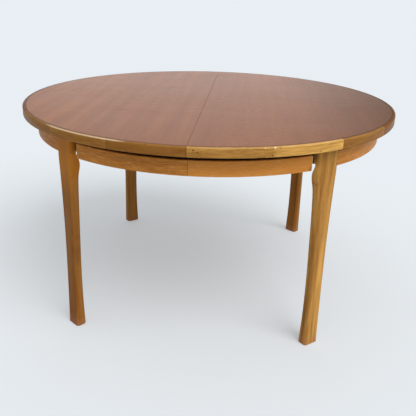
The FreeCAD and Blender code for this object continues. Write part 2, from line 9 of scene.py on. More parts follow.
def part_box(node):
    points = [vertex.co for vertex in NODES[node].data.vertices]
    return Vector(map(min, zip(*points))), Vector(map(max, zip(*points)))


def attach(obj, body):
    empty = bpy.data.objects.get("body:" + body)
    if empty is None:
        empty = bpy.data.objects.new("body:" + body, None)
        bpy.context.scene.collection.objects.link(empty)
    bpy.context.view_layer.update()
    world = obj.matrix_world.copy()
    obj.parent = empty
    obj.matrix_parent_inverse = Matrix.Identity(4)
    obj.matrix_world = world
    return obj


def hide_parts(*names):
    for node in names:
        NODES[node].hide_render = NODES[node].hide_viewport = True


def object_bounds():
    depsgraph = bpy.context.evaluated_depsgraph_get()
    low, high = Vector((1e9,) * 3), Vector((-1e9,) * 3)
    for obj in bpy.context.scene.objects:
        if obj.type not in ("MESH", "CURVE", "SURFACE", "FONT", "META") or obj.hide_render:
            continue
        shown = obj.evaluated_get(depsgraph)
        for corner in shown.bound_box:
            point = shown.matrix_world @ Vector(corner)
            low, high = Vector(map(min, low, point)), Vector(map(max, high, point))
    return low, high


bl_info = {
    "name": "Round extending table",
    "version": (1, 0, 0),
    "blender": (4, 5, 0),
    "location": "View3D > Sidebar > Table",
    "description": "Finishes and fine pieces of a round extending dining table",
    "category": "Object",
}

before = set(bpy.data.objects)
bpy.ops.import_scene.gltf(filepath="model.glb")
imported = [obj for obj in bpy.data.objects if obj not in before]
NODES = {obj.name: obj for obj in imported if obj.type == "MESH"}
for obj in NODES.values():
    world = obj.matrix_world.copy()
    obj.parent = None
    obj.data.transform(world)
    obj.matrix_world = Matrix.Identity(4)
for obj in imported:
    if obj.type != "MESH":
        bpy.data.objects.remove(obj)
CAD_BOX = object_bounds()
TOP_RADIUS, HEIGHT = CAD_BOX[1][1], CAD_BOX[1][2]
SIDES = ("left", "right")
ENDS = ("front", "back")
BODY = {"left": "left_half", "right": "right_half"}
MM = 0.001


# ---------------------------------------------------------------- settings

def length(name, description, default):
    return FloatProperty(name=name, description=description, default=default,
                         subtype="DISTANCE", unit="LENGTH")


def angle(name, description, degrees):
    return FloatProperty(name=name, description=description, default=math.radians(degrees),
                         subtype="ANGLE")


def colour(name, description, default):
    return FloatVectorProperty(name=name, description=description, default=default,
                               subtype="COLOR", size=3, min=0.0, max=1.0)


def share(name, description, default):
    return FloatProperty(name=name, description=description, default=default,
                         min=0.0, max=1.0, subtype="FACTOR")


def number(name, description, default):
    return FloatProperty(name=name, description=description, default=default)


class TableSizes(bpy.types.PropertyGroup):
    """Sizes of the fine pieces."""

    lipping_width: length("Lipping width", "Edge lipping seen from above", 10 * MM)
    lipping_round: length("Upper arris", "Rounding of the lipping's upper arris", 5 * MM)
    lipping_ease: length("Lower arris", "Rounding of the lipping's lower arris", 2 * MM)
    lipping_joint: length("Joint", "Gap between lipping segments", 0.16 * MM)
    lipping_segments: IntProperty(name="Segments", description="Lipping segments on one half",
                                  default=9, min=1)
    arris: length("Arris", "Small bevel on planed parts", 0.8 * MM)
    seam_arris: length("Seam arris", "Bevel along the seam of the veneer", 0.45 * MM)
    screw_head: length("Screw head", "Diameter of a screw's head", 8.5 * MM)
    screw_core: length("Screw", "Diameter of a screw under its head", 4.5 * MM)
    screw_sink: length("Screw sink", "Height of the countersunk head", 3.5 * MM)
    thread_pitch: length("Thread pitch", "Rise of the screw thread in one turn", 2.2 * MM)
    screw_slot: length("Screw slot", "Width of the slot in a screw head", 1.2 * MM)
    slot_depth: length("Slot depth", "Depth of the slot in a screw head", 1.4 * MM)
    bolt_flats: length("Bolt head", "Bolt head across flats", 13 * MM)
    bolt_head: length("Bolt head height", "Height of the bolt head", 5.3 * MM)
    bolt_shank: length("Bolt shank", "Diameter of the bolt", 8 * MM)
    washer_hole: length("Washer hole", "Hole in the washer", 8.2 * MM)
    leg_azimuth: angle("Leg azimuth", "Leg axis from the front, round the centre", 39.5)
    leaf_width: length("Veneer leaf", "Width of one leaf of the face veneer", 172 * MM)


class TableFinish(bpy.types.PropertyGroup):
    """Colours of the woods and metals."""

    veneer_light: colour("Veneer, light", "Face veneer, light figure", (0.4, 0.146, 0.05))
    veneer_dark: colour("Veneer, dark", "Face veneer, dark figure", (0.2, 0.065, 0.019))
    lipping_light: colour("Lipping, light", "Edge lipping, light figure", (0.92, 0.52, 0.13))
    lipping_dark: colour("Lipping, dark", "Edge lipping, dark figure", (0.21, 0.07, 0.009))
    apron_light: colour("Apron, light", "Apron veneer, light figure", (0.72, 0.29, 0.058))
    apron_dark: colour("Apron, dark", "Apron veneer, dark figure", (0.25, 0.072, 0.01))
    leg_light: colour("Leg, light", "Legs, light figure", (0.74, 0.39, 0.092))
    leg_dark: colour("Leg, dark", "Legs, dark figure", (0.19, 0.052, 0.006))
    beech_light: colour("Beech, light", "Slide members", (0.60, 0.40, 0.23))
    beech_dark: colour("Beech, dark", "Slide members", (0.42, 0.25, 0.13))
    pine_light: colour("Pine, light", "Blocks", (0.66, 0.47, 0.26))
    pine_dark: colour("Pine, dark", "Blocks", (0.46, 0.27, 0.12))
    # Near-black stain of the glue blocks and spacers: partly their own stain, partly painted shade of the
    # gap under the top.
    stain_and_shade_light: colour("Stain, light", "Glue blocks and spacers", (0.030, 0.018, 0.012))
    stain_and_shade_dark: colour("Stain, dark", "Glue blocks and spacers", (0.010, 0.006, 0.004))
    board_light: colour("Board, light", "Core board", (0.50, 0.37, 0.23))
    board_dark: colour("Board, dark", "Core board", (0.28, 0.18, 0.10))
    steel: colour("Steel", "Screws, bolts and washers", (0.62, 0.62, 0.60))
    brass: colour("Brass", "Inserts and hinges", (0.72, 0.50, 0.20))
    wear: share("Wear", "How much the arrises and feet are worn", 0.5)


class TableStage(bpy.types.PropertyGroup):
    """Camera, floor and light."""

    camera_place: FloatVectorProperty(name="Camera", description="Place of the camera",
                                      size=3, default=(0.162, -2.066, 1.122),
                                      subtype="TRANSLATION", unit="LENGTH")
    camera_turn: angle("Camera turn", "Turn of the view from +Y towards +X", -6.42)
    camera_pitch: angle("Camera pitch", "View below the horizon", 20.02)
    camera_roll: angle("Camera roll", "Roll of the camera", 1.08)
    lens: number("Lens", "Focal length in millimetres", 48.3)
    shift_x: number("Shift across", "Lens shift across", 0.0505)
    shift_y: number("Shift up", "Lens shift up", -0.0553)
    floor_colour: colour("Floor", "Pale floor", (0.455, 0.479, 0.499))
    floor_glow: number("Floor glow", "Light from a bright room that lifts the floor's shadows", 0.70)
    floor_size: length("Floor size", "Half of the floor's side", 60.0)
    sky_colour: colour("Surround", "Soft light from all round", (0.97, 0.985, 1.0))
    sky_high: number("Surround above", "Strength of the surround overhead", 0.95)
    sky_low: number("Surround below", "Strength of the surround near the horizon", 0.06)
    glow_strength: number("Window glow", "Strength of the soft glow behind the table", 1.35)
    glow_turn: angle("Glow turn", "Glow from +Y towards +X", -8.0)
    glow_rise: angle("Glow rise", "Height of the glow over the horizon", 7.0)
    glow_reach: angle("Glow reach", "Angle from its middle at which the glow ends", 30.0)
    glow_core: angle("Glow core", "Angle from its middle at which the glow is full", 6.0)
    key_strength: number("Key light", "Strength of the key light", 2.1)
    key_from: FloatVectorProperty(name="Key direction", description="Where the key light comes from",
                                  size=3, default=(0.75, -0.75, 1.15), subtype="DIRECTION")
    key_spread: angle("Key spread", "Angle that the key light fills in the sky", 45.0)


def sizes():
    return bpy.context.scene.table_sizes


def finish():
    return bpy.context.scene.table_finish


def stage():
    return bpy.context.scene.table_stage


# ------------------------------------------------------- tones and marks

BLACK = (0.0, 0.0, 0.0)
DIRT = (0.09, 0.035, 0.012)
KNOT_BROWN = (0.10, 0.042, 0.015)
BARE_WOOD = (0.88, 0.80, 0.68)
BRUISE_BROWN = (0.05, 0.018, 0.006)

# Marks on the lipping: degrees from the front towards +X, metres below the top face, radius.
CHIPS = ((20.6, 2.5 * MM, 4 * MM), (18.2, 2.5 * MM, 2.5 * MM), (24.5, 2 * MM, 2.5 * MM))
BRUISES = ((1.6, 9 * MM, 4 * MM), (2.6, 16 * MM, 3 * MM), (21.8, 3.5 * MM, 3 * MM),
           (20.2, 24 * MM, 3 * MM), (18.0, 26 * MM, 2.5 * MM), (-22.0, 6 * MM, 3 * MM))
STAIN = (-4.0, 13 * MM, 9 * MM)

# Seed of each apron's figure, and its share of plain light tone: painted light, most on the right half's
# aprons where the key light falls.
APRON_SEEDS = {"front": 1.0, "back": 7.0, "side": 13.0}
APRON_PAINTED_LIGHT = {"left": {"front": 0.06, "back": 0.06, "side": 0.06},
               "right": {"front": 0.62, "back": 0.35, "side": 0.35}}

# Share of the dark tone in each leg: painted shade, most on the legs turned away from the key light.
LEG_SHADES = {("left", "front"): 0.68, ("right", "front"): 0.03,
              ("left", "back"): 0.56, ("right", "back"): 0.55}


# ------------------------------------------------------------ shader helpers

def put(value, socket, tree):
    """Link a socket, or set a plain value."""
    if isinstance(value, bpy.types.NodeSocket):
        tree.links.new(value, socket)
    elif socket.type == "RGBA" and len(value) == 3:
        socket.default_value = (*value, 1.0)
    else:
        socket.default_value = value


def add(tree, kind, inputs=(), **settings):
    """Add a node; inputs pairs a socket's name or number with a value."""
    made = tree.nodes.new(kind)
    for name, value in settings.items():
        setattr(made, name, value)
    for key, value in inputs:
        put(value, made.inputs[key], tree)
    return made


def maths(tree, operation, first, second=0.0):
    made = add(tree, "ShaderNodeMath", [(0, first), (1, second)], operation=operation)
    return made.outputs[0]


def length_of(tree, first, second):
    """Length of a diagonal over two sides."""
    squares = [maths(tree, "MULTIPLY", side, side) for side in (first, second)]
    return maths(tree, "SQRT", maths(tree, "ADD", *squares))


def vector(tree, x=0.0, y=0.0, z=0.0):
    return add(tree, "ShaderNodeCombineXYZ", [(0, x), (1, y), (2, z)]).outputs[0]


def split(tree, source):
    return add(tree, "ShaderNodeSeparateXYZ", [(0, source)]).outputs


def times(tree, first, second):
    return add(tree, "ShaderNodeVectorMath", [(0, first), (1, second)], operation="MULTIPLY").outputs[0]


def noise(tree, place, scale=1.0, detail=2.0, rough=0.5, warp=0.0):
    made = add(tree, "ShaderNodeTexNoise", [("Vector", place), ("Scale", scale), ("Detail", detail),
                                            ("Roughness", rough), ("Distortion", warp)])
    return made.outputs["Fac"]


def band(tree, value, low, high, start=0.0, end=1.0):
    """Value mapped smoothly from low..high to start..end."""
    made = add(tree, "ShaderNodeMapRange", [("Value", value), ("From Min", low), ("From Max", high),
                                            ("To Min", start), ("To Max", end)],
               interpolation_type="SMOOTHSTEP")
    return made.outputs["Result"]


def window(tree, value, low, high, soft):
    """One between low and high, falling softly to zero outside."""
    rise = band(tree, value, low - soft, low)
    fall = band(tree, value, high + soft, high)
    return maths(tree, "MULTIPLY", rise, fall)


def spot(tree, place, centre, radius):
    """One near a point, with a ragged edge."""
    away = add(tree, "ShaderNodeVectorMath", [(0, place), (1, centre)],
               operation="DISTANCE").outputs["Value"]
    ragged = maths(tree, "MULTIPLY", noise(tree, place, 260.0, 3.0), radius)
    return band(tree, maths(tree, "ADD", away, ragged), 1.3 * radius, 0.8 * radius)


def rim_mark(tree, place, mark):
    """Spot on the outer face of the lipping, from its azimuth, depth and radius."""
    azimuth, depth, radius = mark
    turn = math.radians(azimuth)
    centre = (TOP_RADIUS * math.sin(turn), -TOP_RADIUS * math.cos(turn), HEIGHT - depth)
    return spot(tree, place, centre, radius)


def mix(tree, factor, first, second):
    made = add(tree, "ShaderNodeMix", data_type="RGBA")
    for key, value in ((0, factor), (6, first), (7, second)):
        put(value, made.inputs[key], tree)
    return made.outputs[2]


def new_group(name, takes, gives):
    """Empty node group with named sockets; returns its tree and the sockets inside it."""
    tree = bpy.data.node_groups.new(name, "ShaderNodeTree")
    kinds = {"f": "NodeSocketFloat", "v": "NodeSocketVector", "c": "NodeSocketColor"}
    for label, kind in takes:
        tree.interface.new_socket(label, in_out="INPUT", socket_type=kinds[kind])
    for label, kind in gives:
        tree.interface.new_socket(label, in_out="OUTPUT", socket_type=kinds[kind])
    taken = tree.nodes.new("NodeGroupInput").outputs
    given = tree.nodes.new("NodeGroupOutput").inputs
    return tree, taken, given


def use_group(tree, name, inputs):
    made = tree.nodes.new("ShaderNodeGroup")
    made.node_tree = bpy.data.node_groups[name]
    for key, value in inputs:
        put(value, made.inputs[key], tree)
    return made.outputs


# ------------------------------------------------------------- shared groups

def group_ring_place():
    """Place on a ring: height across, arc length along, radius deep."""
    tree, taken, given = new_group("ring_place", [("Place", "v")], [("Wood", "v"), ("Radius", "f")])
    x, y, z = split(tree, taken["Place"])
    turn = maths(tree, "ARCTAN2", x, maths(tree, "MULTIPLY", y, -1.0))
    radius = length_of(tree, x, y)
    arc = maths(tree, "MULTIPLY", turn, TOP_RADIUS)
    tree.links.new(vector(tree, z, arc, radius), given["Wood"])
    tree.links.new(radius, given["Radius"])


def group_wood_figure():
    """Wood figure from a place with the grain along Y."""
    takes = [("Wood", "v"), ("Light", "c"), ("Dark", "c"), ("Streak width", "f"), ("Streak length", "f"),
             ("Contrast", "f"), ("Pores", "f"), ("Figure", "f"), ("Seed", "f")]
    tree, taken, given = new_group("wood_figure", takes, [("Color", "c"), ("Height", "f")])
    x, y, z = split(tree, taken["Wood"])
    across = maths(tree, "DIVIDE", x, taken["Streak width"])
    along = maths(tree, "DIVIDE", y, taken["Streak length"])
    deep = maths(tree, "DIVIDE", z, taken["Streak width"])
    place = add(tree, "ShaderNodeVectorMath", [(0, vector(tree, across, along, deep)), (1, taken["Seed"])],
                operation="ADD").outputs[0]
    streaks = noise(tree, place, 1.0, 5.0, 0.62, 0.6)
    broad = noise(tree, place, 0.16, 2.0, 0.5, 0.3)
    swing = maths(tree, "MULTIPLY", broad, maths(tree, "MULTIPLY", taken["Figure"], 40.0))
    lines = maths(tree, "SINE", maths(tree, "ADD", maths(tree, "MULTIPLY", across, 0.9), swing))
    lines = band(tree, lines, -0.4, 1.0)
    fine = noise(tree, times(tree, place, (9.0, 2.6, 9.0)), 1.0, 3.0, 0.6)
    pores = band(tree, fine, 0.58, 0.70)
    tone = band(tree, streaks, 0.30, 0.70)
    figured = maths(tree, "MULTIPLY", lines, taken["Figure"])
    dark = maths(tree, "MULTIPLY", maths(tree, "ADD", tone, figured), taken["Contrast"])
    dark = maths(tree, "ADD", dark, maths(tree, "MULTIPLY", band(tree, broad, 0.35, 0.65), 0.22))
    base = mix(tree, dark, taken["Light"], taken["Dark"])
    shade = mix(tree, 0.72, taken["Dark"], BLACK)
    pitted = mix(tree, maths(tree, "MULTIPLY", pores, taken["Pores"]), base, shade)
    height = maths(tree, "SUBTRACT", maths(tree, "MULTIPLY", streaks, 0.25),
                   maths(tree, "MULTIPLY", pores, 0.8))
    tree.links.new(pitted, given["Color"])
    tree.links.new(height, given["Height"])


def group_arris_wear():
    """Rubbed finish within a distance of an arris, broken up by noise."""
    takes = [("Distance", "f"), ("Width", "f"), ("Place", "v"), ("Amount", "f")]
    tree, taken, given = new_group("arris_wear", takes, [("Mask", "f")])
    near = maths(tree, "DIVIDE", taken["Distance"], taken["Width"])
    ragged = noise(tree, taken["Place"], 60.0, 4.0, 0.6)
    uneven = maths(tree, "MULTIPLY", maths(tree, "SUBTRACT", ragged, 0.5), 1.6)
    edge = maths(tree, "ADD", near, uneven)
    worn = band(tree, edge, 1.1, 0.5)
    tree.links.new(maths(tree, "MULTIPLY", worn, taken["Amount"]), given["Mask"])


def group_dents():
    """Scattered small bruises: one inside a bruise, zero elsewhere."""
    takes = [("Place", "v"), ("Scale", "f"), ("Rarity", "f")]
    tree, taken, given = new_group("dents", takes, [("Mask", "f")])
    cells = add(tree, "ShaderNodeTexVoronoi", [("Vector", taken["Place"]), ("Scale", taken["Scale"])],
                feature="F1")
    pick = split(tree, cells.outputs["Color"])[0]
    chosen = maths(tree, "GREATER_THAN", pick, taken["Rarity"])
    wobble = maths(tree, "MULTIPLY", noise(tree, taken["Place"], 300.0, 2.0), 0.2)
    bruise = band(tree, maths(tree, "ADD", cells.outputs["Distance"], wobble), 0.34, 0.2)
    tree.links.new(maths(tree, "MULTIPLY", bruise, chosen), given["Mask"])


def group_handling():
    """Faint smears and dust that vary the gloss."""
    takes = [("Place", "v"), ("Rough", "f"), ("Spread", "f")]
    tree, taken, given = new_group("handling", takes, [("Roughness", "f")])
    smear = noise(tree, times(tree, taken["Place"], (2.2, 4.5, 3.0)), 1.0, 5.0, 0.65, 0.8)
    offset = maths(tree, "MULTIPLY", maths(tree, "SUBTRACT", smear, 0.5), taken["Spread"])
    tree.links.new(maths(tree, "ADD", taken["Rough"], offset), given["Roughness"])


# ---------------------------------------------------------------- materials

def start_material(name):
    """Material with a plain Principled BSDF and object coordinates."""
    made = bpy.data.materials.new(name)
    made.use_nodes = True
    tree = made.node_tree
    shader = tree.nodes["Principled BSDF"]
    place = tree.nodes.new("ShaderNodeTexCoord").outputs["Object"]
    return made, tree, shader, place


def bump(tree, shader, height, depth, strength=0.5):
    made = add(tree, "ShaderNodeBump", [("Height", height), ("Distance", depth), ("Strength", strength)])
    tree.links.new(made.outputs[0], shader.inputs["Normal"])


def wood_finish(light, dark, wood, tree, shader, place, look):
    """Wood figure, gloss and bump on a prepared place; returns the colour socket."""
    figure = use_group(tree, "wood_figure", [
        ("Wood", wood), ("Light", light), ("Dark", dark), ("Streak width", look["width"]),
        ("Streak length", look["length"]), ("Contrast", look["contrast"]), ("Pores", look["pores"]),
        ("Figure", look["figure"]), ("Seed", look.get("seed", 0.0))])
    gloss = use_group(tree, "handling", [("Place", place), ("Rough", look["rough"]),
                                         ("Spread", look["spread"])])
    tree.links.new(gloss["Roughness"], shader.inputs["Roughness"])
    shader.inputs["Specular IOR Level"].default_value = look.get("gloss", 0.05)
    bump(tree, shader, figure["Height"], look["relief"])
    return figure["Color"]


def veneer_material(name, seed):
    """Lacquered face veneer laid in matched leaves along the seam, darkened towards its rim at +X by
    painted shade.
    """
    made, tree, shader, place = start_material(name)
    x, y, z = split(tree, place)
    leaf_brown, warm_red = (0.17, 0.062, 0.035), (0.36, 0.12, 0.07)
    far_shade, line_dark = (0.10, 0.035, 0.010), (0.035, 0.012, 0.005)
    shade_start, shade_end = 0.391 * TOP_RADIUS, 0.9624 * TOP_RADIUS
    width = sizes().leaf_width
    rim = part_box("top_veneer_right")[1][1]
    leaf = maths(tree, "FLOOR", maths(tree, "DIVIDE", x, width))
    folded = maths(tree, "PINGPONG", x, width)
    pick = add(tree, "ShaderNodeTexWhiteNoise", [("W", maths(tree, "ADD", leaf, 0.37))],
               noise_dimensions="1D").outputs["Value"]
    wood = vector(tree, folded, y, z)
    look = dict(width=0.030, length=0.62, contrast=0.42, pores=0.28, figure=0.35, rough=0.27, spread=0.12,
                gloss=0.03, relief=0.02 * MM, seed=3.1 + seed)
    light, dark = tuple(finish().veneer_light), tuple(finish().veneer_dark)
    figure = wood_finish(light, dark, wood, tree, shader, place, look)
    leaf_tone = mix(tree, maths(tree, "MULTIPLY", pick, 0.45), figure, leaf_brown)
    warm = noise(tree, times(tree, place, (1.6, 1.1, 1.0)), 1.0, 2.0)
    warmth = maths(tree, "MULTIPLY", band(tree, warm, 0.52, 0.75), 0.35)
    reddish = mix(tree, warmth, leaf_tone, warm_red)
    edge = use_group(tree, "ring_place", [("Place", place)])["Radius"]
    line = band(tree, edge, rim - 2.6 * MM, rim - 1.0 * MM)
    # Painted shade: the top darkens towards its rim at +X.
    shaded = mix(tree, band(tree, x, shade_start, shade_end, 0.0, 0.8), reddish, far_shade)
    lined = mix(tree, maths(tree, "MULTIPLY", line, 0.75), shaded, line_dark)
    tree.links.new(lined, shader.inputs["Base Color"])
    return made


def lipping_material():
    """Golden solid lipping, toned per segment with partly painted shade, rubbed and bruised on its arris,
    with a painted highlight on its left front arris.
    """
    made, tree, shader, place = start_material("lipping_lacquer")
    flat_brown, rubbed_gold = (0.13, 0.045, 0.011), (0.80, 0.48, 0.19)
    arris_highlight, red_stain = (0.86, 0.68, 0.46), (0.34, 0.11, 0.04)
    ring = use_group(tree, "ring_place", [("Place", place)])
    tone = add(tree, "ShaderNodeAttribute", attribute_name="tone").outputs["Fac"]
    shifted = add(tree, "ShaderNodeVectorMath", [(0, ring["Wood"]), (1, vector(tree, 0.0, tone, tone))],
                  operation="ADD").outputs[0]
    look = dict(width=0.0075, length=0.085, contrast=0.52, pores=0.5, figure=0.3, rough=0.36, spread=0.2,
                relief=0.1 * MM)
    light, dark = tuple(finish().lipping_light), tuple(finish().lipping_dark)
    figure = wood_finish(light, dark, shifted, tree, shader, place, look)
    # Partly painted shade: segments with a higher tone are mixed towards the dark figure.
    toned = mix(tree, maths(tree, "MULTIPLY", tone, 0.8), figure, dark)
    z = split(tree, place)[2]
    out = maths(tree, "SUBTRACT", TOP_RADIUS, ring["Radius"])
    flat = maths(tree, "MULTIPLY", band(tree, z, HEIGHT - 0.8 * MM, HEIGHT - 0.3 * MM),
                 band(tree, out, 2.8 * MM, 4.8 * MM))
    toned = mix(tree, maths(tree, "MULTIPLY", flat, 0.85), toned, flat_brown)
    arc = split(tree, ring["Wood"])[1]
    down = maths(tree, "SUBTRACT", HEIGHT, z)
    distance = length_of(tree, out, down)
    worn = use_group(tree, "arris_wear", [("Distance", distance), ("Width", 5.5 * MM), ("Place", place),
                                          ("Amount", 0.8 * finish().wear)])["Mask"]
    worn = maths(tree, "MULTIPLY", worn, band(tree, tone, 1.1, 0.4, 0.15, 1.0))
    front = window(tree, arc, -0.62, 0.62, 0.08)
    worn = maths(tree, "MULTIPLY", worn, maths(tree, "ADD", maths(tree, "MULTIPLY", front, 0.7), 0.3))
    rubbed = mix(tree, worn, toned, rubbed_gold)
    # Painted highlight, partly wear: a pale line along the upper arris, about 18 to 39 degrees left of the
    # front.
    bright = maths(tree, "MULTIPLY", window(tree, arc, -0.45, -0.21, 0.05),
                   band(tree, distance, 4.5 * MM, 2.2 * MM))
    rubbed = mix(tree, maths(tree, "MULTIPLY", bright, 0.62), rubbed, arris_highlight)
    stain = maths(tree, "MULTIPLY", rim_mark(tree, place, STAIN), 0.7)
    rubbed = mix(tree, stain, rubbed, red_stain)
    for mark in CHIPS:
        rubbed = mix(tree, rim_mark(tree, place, mark), rubbed, BARE_WOOD)
    for mark in BRUISES:
        rubbed = mix(tree, rim_mark(tree, place, mark), rubbed, BRUISE_BROWN)
    dents = use_group(tree, "dents", [("Place", times(tree, place, (1.0, 1.0, 2.2))), ("Scale", 55.0),
                                      ("Rarity", 0.9)])["Mask"]
    stretched = times(tree, ring["Wood"], (9.0, 1.3, 9.0))
    lines = band(tree, noise(tree, stretched, 14.0, 3.0, 0.7, 1.0), 0.60, 0.72)
    dirt = maths(tree, "MAXIMUM", maths(tree, "MULTIPLY", dents, 0.75),
                 maths(tree, "MULTIPLY", lines, 0.35))
    tree.links.new(mix(tree, dirt, rubbed, DIRT), shader.inputs["Base Color"])
    return made


def lipping_strip_material(name="end_strips"):
    """Light solid wood of the short end strips."""
    made, tree, shader, place = start_material(name)
    x, y, z = split(tree, place)
    look = dict(width=0.006, length=0.05, contrast=0.4, pores=0.3, figure=0.2, rough=0.4, spread=0.15,
                relief=0.05 * MM)
    light = tuple(c * 1.1 for c in finish().lipping_light)
    dark = tuple(finish().lipping_dark)
    figure = wood_finish(light, dark, vector(tree, x, z, y), tree, shader, place, look)
    tree.links.new(figure, shader.inputs["Base Color"])
    return made


def apron_material(name, seed, painted_light_share):
    """Bent veneer with short flecks along the apron; the last argument is the share of plain light tone,
    painted light on the side where the key light falls.
    """
    made, tree, shader, place = start_material(name)
    fleck_gold, dent_brown = (0.72, 0.40, 0.17), (0.10, 0.04, 0.015)
    ring = use_group(tree, "ring_place", [("Place", place)])
    look = dict(width=0.0055, length=0.05, contrast=0.5, pores=0.55, figure=0.12, rough=0.42, spread=0.2,
                relief=0.08 * MM, seed=seed)
    light, dark = tuple(finish().apron_light), tuple(finish().apron_dark)
    figure = wood_finish(light, dark, ring["Wood"], tree, shader, place, look)
    # Painted light: the figure is mixed towards the plain light tone by the apron's share.
    figure = mix(tree, painted_light_share, figure, light)
    short = times(tree, ring["Wood"], (160.0, 34.0, 160.0))
    flecks = band(tree, noise(tree, short, 1.0, 2.0, 0.5, 0.4), 0.56, 0.72)
    glints = mix(tree, maths(tree, "MULTIPLY", flecks, 0.4), figure, fleck_gold)
    dents = use_group(tree, "dents", [("Place", place), ("Scale", 17.0), ("Rarity", 0.86)])["Mask"]
    dented = mix(tree, maths(tree, "MULTIPLY", dents, 0.5), glints, dent_brown)
    tree.links.new(dented, shader.inputs["Base Color"])
    return made


def leg_material(name, side, end, seed, shade):
    """Solid leg: figure runs up the leg; the foot is rubbed and chipped. The shade share darkens the whole
    leg as painted shade and lifts its top with painted light.
    """
    made, tree, shader, place = start_material(name)
    streak_brown, painted_top_gold = (0.085, 0.035, 0.012), (0.90, 0.30, 0.01)
    foot_red, chip_pale = (0.42, 0.17, 0.085), (0.72, 0.60, 0.48)
    turn = sizes().leg_azimuth * (1 if side == "left" else -1) * (1 if end == "front" else -1)
    local = add(tree, "ShaderNodeMapping", [("Vector", place), ("Rotation", (0.0, 0.0, turn))],
                vector_type="POINT").outputs[0]
    u, v, z = split(tree, local)
    look = dict(width=0.016, length=0.34, contrast=0.5, pores=0.35, figure=0.45, rough=0.4, spread=0.22,
                relief=0.08 * MM, seed=seed)
    light, dark = tuple(finish().leg_light), tuple(finish().leg_dark)
    figure = wood_finish(light, dark, vector(tree, u, z, v), tree, shader, place, look)
    # Painted shade: the whole leg is mixed towards the dark tone by its shade share.
    toned = mix(tree, shade, figure, dark)
    drawn = vector(tree, maths(tree, "MULTIPLY", u, 75.0), maths(tree, "MULTIPLY", z, 3.0), seed)
    streak = band(tree, noise(tree, drawn, 1.0, 3.0, 0.6, 0.6), 0.60, 0.74)
    toned = mix(tree, maths(tree, "MULTIPLY", streak, 0.55), toned, streak_brown)
    knots = use_group(tree, "dents", [("Place", times(tree, place, (1.0, 1.0, 0.55))), ("Scale", 14.0),
                                      ("Rarity", 0.88)])["Mask"]
    toned = mix(tree, maths(tree, "MULTIPLY", knots, 0.5), toned, KNOT_BROWN)
    # Painted light: the upper part of the shaded legs is lifted towards warm gold, against the shade under
    # the top.
    upper = maths(tree, "MULTIPLY", band(tree, z, 0.45, 0.62), 0.5 * shade)
    toned = mix(tree, upper, toned, painted_top_gold)
    worn = use_group(tree, "arris_wear", [("Distance", z), ("Width", 34 * MM), ("Place", place),
                                          ("Amount", 0.75 * finish().wear)])["Mask"]
    scuffed = mix(tree, worn, toned, foot_red)
    chips = use_group(tree, "dents", [("Place", place), ("Scale", 75.0), ("Rarity", 0.80)])["Mask"]
    low = band(tree, z, 55 * MM, 20 * MM)
    amount = maths(tree, "MULTIPLY", maths(tree, "MULTIPLY", chips, low), 0.7)
    chipped = mix(tree, amount, scuffed, chip_pale)
    tree.links.new(chipped, shader.inputs["Base Color"])
    return made


def inner_wood_material(name, light, dark, along, seed):
    """Planed, unlacquered wood of the hidden parts; its grain runs along the given axis."""
    made, tree, shader, place = start_material(name)
    x, y, z = split(tree, place)
    turned = {"x": (y, x, z), "y": (x, y, z), "z": (x, z, y)}[along]
    wood = vector(tree, *turned)
    look = dict(width=0.010, length=0.16, contrast=0.55, pores=0.3, figure=0.4, rough=0.62, spread=0.15,
                relief=0.1 * MM, seed=seed)
    figure = wood_finish(tuple(light), tuple(dark), wood, tree, shader, place, look)
    grime_brown = (0.16, 0.10, 0.06)
    grime = noise(tree, place, 7.0, 4.0, 0.6)
    grimy = mix(tree, band(tree, grime, 0.55, 0.8, 0.0, 0.35), figure, grime_brown)
    tree.links.new(grimy, shader.inputs["Base Color"])
    return made


def board_material():
    """Pressed board: flakes of many tones."""
    made, tree, shader, place = start_material("core_chips")
    flat = times(tree, place, (1.0, 1.0, 2.4))
    cells = add(tree, "ShaderNodeTexVoronoi", [("Vector", flat), ("Scale", 260.0)])
    pick = split(tree, cells.outputs["Color"])[0]
    coarse = noise(tree, place, 45.0, 4.0, 0.7)
    tone = maths(tree, "ADD", maths(tree, "MULTIPLY", pick, 0.7), maths(tree, "MULTIPLY", coarse, 0.4))
    base = mix(tree, tone, tuple(finish().board_light), tuple(finish().board_dark))
    tree.links.new(base, shader.inputs["Base Color"])
    shader.inputs["Roughness"].default_value = 0.8
    bump(tree, shader, pick, 0.15 * MM, 0.6)
    return made


def metal_material(name, tint, rough, tarnish):
    """Metal with fine turning marks and tarnish."""
    made, tree, shader, place = start_material(name)
    spots = noise(tree, place, 420.0, 4.0, 0.65)
    marks = noise(tree, times(tree, place, (900.0, 900.0, 4000.0)), 1.0, 2.0)
    dull = band(tree, spots, 0.45, 0.75)
    tarnish_brown = (0.16, 0.11, 0.07)
    base = mix(tree, maths(tree, "MULTIPLY", dull, tarnish), tuple(tint), tarnish_brown)
    uneven = maths(tree, "ADD", rough, maths(tree, "MULTIPLY", dull, 0.25))
    tree.links.new(base, shader.inputs["Base Color"])
    tree.links.new(uneven, shader.inputs["Roughness"])
    shader.inputs["Metallic"].default_value = 1.0
    bump(tree, shader, marks, 0.02 * MM, 0.3)
    return made


def floor_material():
    """Pale matt floor, lifted a little by a glow of its own."""
    made, tree, shader, place = start_material("pale_floor")
    grain = noise(tree, place, 3.0, 2.0)
    pale, dust = tuple(stage().floor_colour), (0.7, 0.7, 0.7)
    shader.inputs["Emission Color"].default_value = (*pale, 1.0)
    shader.inputs["Emission Strength"].default_value = stage().floor_glow
    dusty = mix(tree, maths(tree, "MULTIPLY", grain, 0.01), pale, dust)
    tree.links.new(dusty, shader.inputs["Base Color"])
    shader.inputs["Roughness"].default_value = 0.9
    shader.inputs["Specular IOR Level"].default_value = 0.0
    return made


# ------------------------------------------------------------- mesh helpers

SHARP_ANGLE = math.radians(30)
BEVEL_ANGLE = math.radians(50)
CENTRE, UP = (0, 0, 0), (0, 0, 1)
TINY = 1e-6


